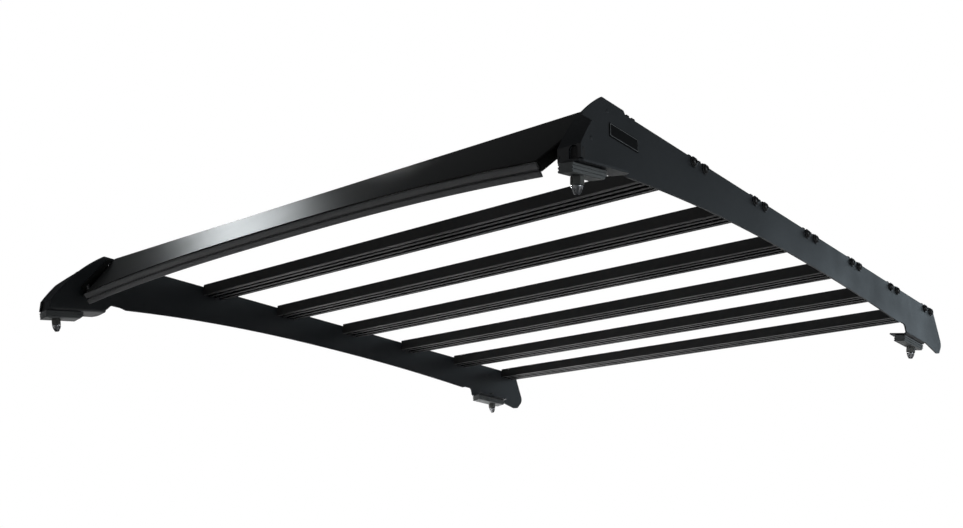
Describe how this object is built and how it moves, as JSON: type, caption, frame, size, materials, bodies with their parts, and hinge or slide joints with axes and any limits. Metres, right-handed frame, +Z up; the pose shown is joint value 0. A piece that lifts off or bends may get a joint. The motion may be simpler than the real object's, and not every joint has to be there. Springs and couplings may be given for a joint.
{
  "type": "flat platform roof rack",
  "caption": "Flat platform roof rack with slotted cross slats, formed side plates, stud feet and an arched wind deflector.",
  "frame": {"origin": "centre of the bounding box's bottom face, on the level of the front studs' noses", "axes": "+X to the rack's right-hand side as its front faces -Y, +Y to the rear, +Z up; the platform is level"},
  "size_m": [1.2128, 1.4427, 0.1637],
  "materials": {
    "plate_powder_coat": "satin powder coat, dark blue-grey",
    "slat_powder_coat": "fine textured powder coat, near black",
    "deflector_powder_coat": "semi-gloss powder coat",
    "rubber_parts": "dull rubber",
    "block_plastic": "matt moulded or extruded block",
    "bright_steel": "plated steel",
    "badge_gloss": "gloss, blank"
  },
  "bodies": {
    "root": {"side_plate_left": "plate_powder_coat", "side_plate_right": "plate_powder_coat", "slat_1": "slat_powder_coat", "slat_2": "slat_powder_coat", "slat_3": "slat_powder_coat", "slat_4": "slat_powder_coat", "slat_5": "slat_powder_coat", "slat_6": "slat_powder_coat", "slat_7": "slat_powder_coat", "wind_deflector": "deflector_powder_coat", "deflector_edge_strip": "rubber_parts", "deflector_bracket_left": "deflector_powder_coat", "deflector_bracket_right": "deflector_powder_coat", "foot_pad_front_left": "rubber_parts", "foot_pad_front_right": "rubber_parts", "foot_pad_rear_left": "rubber_parts", "foot_pad_rear_right": "rubber_parts", "foot_block_front_left": "block_plastic", "foot_block_front_right": "block_plastic", "foot_block_rear_left": "block_plastic", "foot_block_rear_right": "block_plastic", "stud_front_left": "bright_steel", "stud_front_right": "bright_steel", "stud_rear_left": "bright_steel", "stud_rear_right": "bright_steel", "sleeve_front_left": "rubber_parts", "sleeve_front_right": "rubber_parts", "sleeve_rear_left": "rubber_parts", "sleeve_rear_right": "rubber_parts", "badge_plate": "badge_gloss"}
  },
  "joints": []
}
